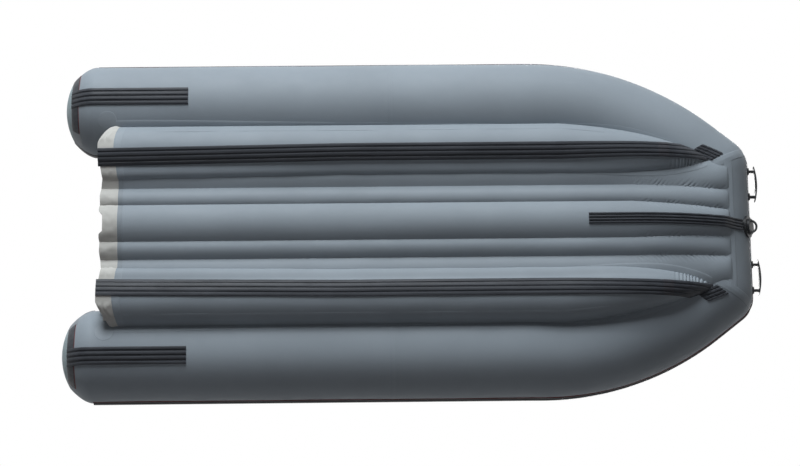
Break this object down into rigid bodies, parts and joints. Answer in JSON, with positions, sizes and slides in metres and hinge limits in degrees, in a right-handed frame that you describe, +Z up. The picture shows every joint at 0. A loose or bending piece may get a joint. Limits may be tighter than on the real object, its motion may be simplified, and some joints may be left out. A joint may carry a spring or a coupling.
{
  "type": "inflatable motor boat",
  "caption": "Inflatable motor boat: grey tubes with stern cones and a squared bow, chambered air floor, two hull sponsons with ribbed keel strips, transom and sliding benches.",
  "frame": {"origin": "middle of the boat's length and beam, at the floor that its two keel strips stand on", "axes": "+X to the bow, +Y to port, +Z up"},
  "size_m": [3.511, 1.7316, 0.6161],
  "materials": {
    "aluminium": "anodised",
    "bench_wood": "varnished",
    "black_moulding": "moulded",
    "black_rubber": "satin",
    "black_strip": "satin ribbed PVC",
    "cap_fabric": "satin PVC-coated fabric",
    "hull_fabric": "satin PVC-coated fabric",
    "light_fabric": "satin PVC-coated fabric",
    "pin_plastic": "moulded",
    "plywood": "painted",
    "steel": "satin"
  },
  "bodies": {
    "hull": {"air_valve_bow": "black_moulding", "air_valve_port": "black_moulding", "air_valve_starboard": "black_moulding", "bench_rails_front": "black_rubber", "bench_rails_rear": "black_rubber", "bow_handle_port": "black_moulding", "bow_handle_starboard": "black_moulding", "bow_ring": "steel", "bow_ring_base": "black_moulding", "cone_guard_port": "black_rubber", "cone_guard_starboard": "black_rubber", "drain_valve": "black_moulding", "floor_center": "hull_fabric", "floor_inner_port": "hull_fabric", "floor_inner_starboard": "hull_fabric", "floor_outer_port": "hull_fabric", "floor_outer_starboard": "hull_fabric", "keel_strip_center": "black_strip", "keel_strip_port": "black_strip", "keel_strip_starboard": "black_strip", "motor_pad_inner": "black_moulding", "motor_plate_outer": "black_moulding", "oarlock_pin_port": "pin_plastic", "oarlock_pin_starboard": "pin_plastic", "oarlock_port": "black_moulding", "oarlock_starboard": "black_moulding", "side_handle_port": "black_moulding", "side_handle_starboard": "black_moulding", "sponson_port": "hull_fabric", "sponson_starboard": "hull_fabric", "stern_band": "light_fabric", "stern_strip_port": "black_strip", "stern_strip_starboard": "black_strip", "strake_bow": "black_rubber", "strake_port": "black_rubber", "strake_starboard": "black_rubber", "tow_eye_port": "steel", "tow_eye_starboard": "steel", "transom": "plywood", "transom_holder_port": "black_rubber", "transom_holder_starboard": "black_rubber", "tube_bow": "hull_fabric", "tube_cap_port": "cap_fabric", "tube_cap_starboard": "cap_fabric", "tube_port": "hull_fabric", "tube_starboard": "hull_fabric", "wear_patch_port": "black_strip", "wear_patch_starboard": "black_strip"},
    "bench_rear_body": {"bench_rear": "bench_wood", "bench_runners_rear": "aluminium"},
    "bench_front_body": {"bench_front": "bench_wood", "bench_runners_front": "aluminium"}
  },
  "joints": [
    {"name": "bench_rear_slide", "type": "slide", "parent": "hull", "child": "bench_rear_body", "axis": [1, 0, 0], "range_m": [-0.2, 0.2]},
    {"name": "bench_front_slide", "type": "slide", "parent": "hull", "child": "bench_front_body", "axis": [1, 0, 0], "range_m": [-0.2, 0.2]}
  ]
}
